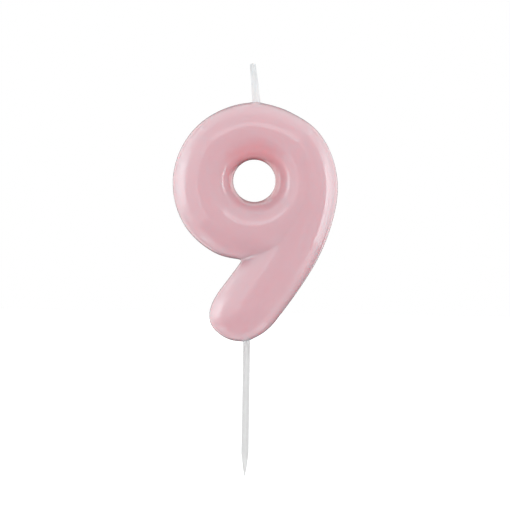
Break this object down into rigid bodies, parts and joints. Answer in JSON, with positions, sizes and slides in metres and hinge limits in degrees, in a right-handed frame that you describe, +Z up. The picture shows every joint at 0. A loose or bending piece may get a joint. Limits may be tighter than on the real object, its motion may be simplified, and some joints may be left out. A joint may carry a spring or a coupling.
{
  "type": "number birthday candle",
  "caption": "Puffed cast-wax candle in the shape of the digit nine, with a short primed wick on top and a clear pointed cake pick underneath.",
  "frame": {"origin": "on the pick's axis at the underside of the nine, where the candle meets the top of the cake", "axes": "+Z up along the pick, out of the cake; +X to the reader's right; the front of the nine faces -Y"},
  "size_m": [0.0483, 0.0172, 0.1212],
  "materials": {
    "pink_wax": "smooth, slightly translucent wax with a glossy dipped surface",
    "primed_wick": "thin white priming wax",
    "cotton": "twisted cotton strand",
    "clear_plastic": "clear moulded plastic, slightly frosted"
  },
  "bodies": {
    "pick": {"pick": "clear_plastic"},
    "numeral": {"numeral": "pink_wax", "wick_coat": "primed_wick", "wick_strand_1": "cotton", "wick_strand_2": "cotton", "wick_strand_3": "cotton"}
  },
  "joints": [
    {"name": "numeral_lift", "type": "slide", "parent": "pick", "child": "numeral", "axis": [0, 0, 1], "range_m": [0, 0.02]}
  ]
}
